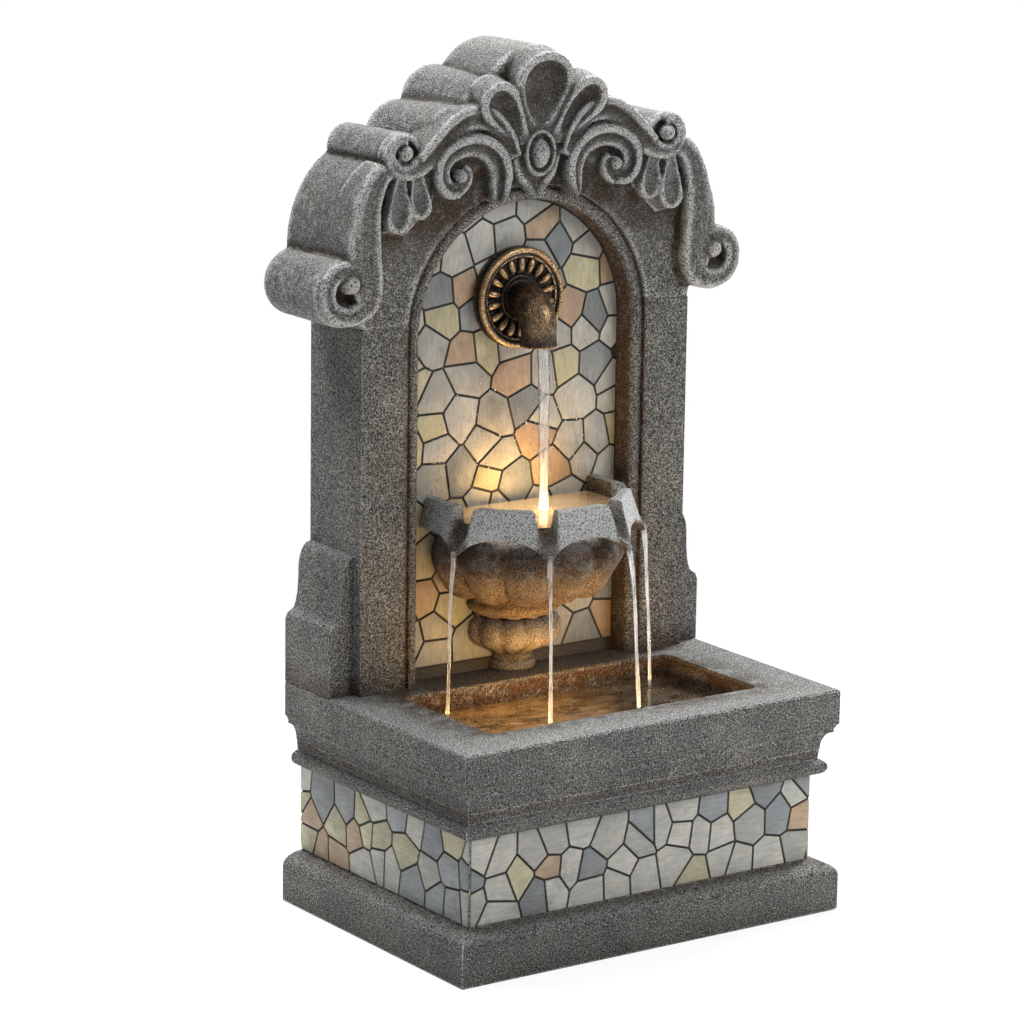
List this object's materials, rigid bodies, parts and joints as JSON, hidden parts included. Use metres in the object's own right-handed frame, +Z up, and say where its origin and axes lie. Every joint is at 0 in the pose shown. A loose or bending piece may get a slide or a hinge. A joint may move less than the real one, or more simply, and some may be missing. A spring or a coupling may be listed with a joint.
{
  "type": "wall fountain",
  "caption": "Wall fountain with a deep basin, arched mosaic niche, lobed spill bowl, round spout rosette and a carved crest with rolled ends.",
  "frame": {"origin": "middle of the footprint, on the ground under the plinth", "axes": "+X to the viewer's right, +Y from the front of the basin to the wall behind, +Z up"},
  "size_m": [0.472, 0.3, 0.8],
  "materials": {
    "cast_stone": "matte",
    "carved_stone": "matte",
    "mosaic_stone": "matte",
    "aged_bronze": "satin",
    "pump_plastic": "matte",
    "slide_plastic": "matte",
    "impeller_plastic": "satin",
    "shaft_ceramic": "polished",
    "hose_plastic": "satin",
    "lamp_plastic": "satin",
    "lens_glass": "gloss",
    "lead_plastic": "satin",
    "door_plastic": "matte",
    "black_rubber": "matte",
    "bolt_steel": "satin"
  },
  "bodies": {
    "fountain": {"basin_plinth": "cast_stone", "basin_cove": "cast_stone", "basin_rim": "cast_stone", "basin_shelf": "cast_stone", "basin_tub": "cast_stone", "band_mosaic_front": "mosaic_stone", "band_mosaic_left": "mosaic_stone", "band_mosaic_right": "mosaic_stone", "upper_body": "cast_stone", "niche_panel": "cast_stone", "back_panel": "cast_stone", "crest": "carved_stone", "niche_mosaic": "mosaic_stone", "joining_bolts": "bolt_steel", "bowl": "carved_stone", "bowl_rim": "carved_stone", "bowl_bolts": "bolt_steel", "bowl_bolt_washers": "black_rubber", "spout_rosette": "aged_bronze", "spout_elbow": "aged_bronze", "spout_washer": "black_rubber", "spout_nut": "pump_plastic", "hose_elbow": "pump_plastic", "hose": "hose_plastic", "hose_clips": "bolt_steel", "pump_housing": "pump_plastic", "pump_feet": "black_rubber", "pump_shaft": "shaft_ceramic", "pump_volute_cover": "pump_plastic", "bowl_lamp": "lamp_plastic", "bowl_lamp_lens": "lens_glass", "basin_lamp": "lamp_plastic", "basin_lamp_lens": "lens_glass", "lead_junction": "lamp_plastic", "pump_lead": "lead_plastic", "bowl_lamp_lead": "lead_plastic", "basin_lamp_lead": "lead_plastic"},
    "impeller": {"pump_impeller": "impeller_plastic"},
    "intake_cover": {"pump_intake_cover": "pump_plastic"},
    "flow_slide": {"pump_flow_slide": "slide_plastic"},
    "rear_door": {"rear_door": "door_plastic", "door_screws": "bolt_steel", "cable_grommet": "black_rubber"}
  },
  "joints": [
    {"name": "impeller_spin", "type": "hinge", "parent": "fountain", "child": "impeller", "pos_m": [0, 0.116, 0.07], "axis": [1, 0, 0], "continuous": true},
    {"name": "intake_cover_pull", "type": "slide", "parent": "fountain", "child": "intake_cover", "axis": [1, 0, 0], "range_m": [0, 0.03]},
    {"name": "flow_slide_move", "type": "slide", "parent": "intake_cover", "child": "flow_slide", "axis": [0, 0, 1], "range_m": [-0.018, 0]},
    {"name": "rear_door_pull", "type": "slide", "parent": "fountain", "child": "rear_door", "axis": [0, 1, 0], "range_m": [0, 0.12]}
  ]
}
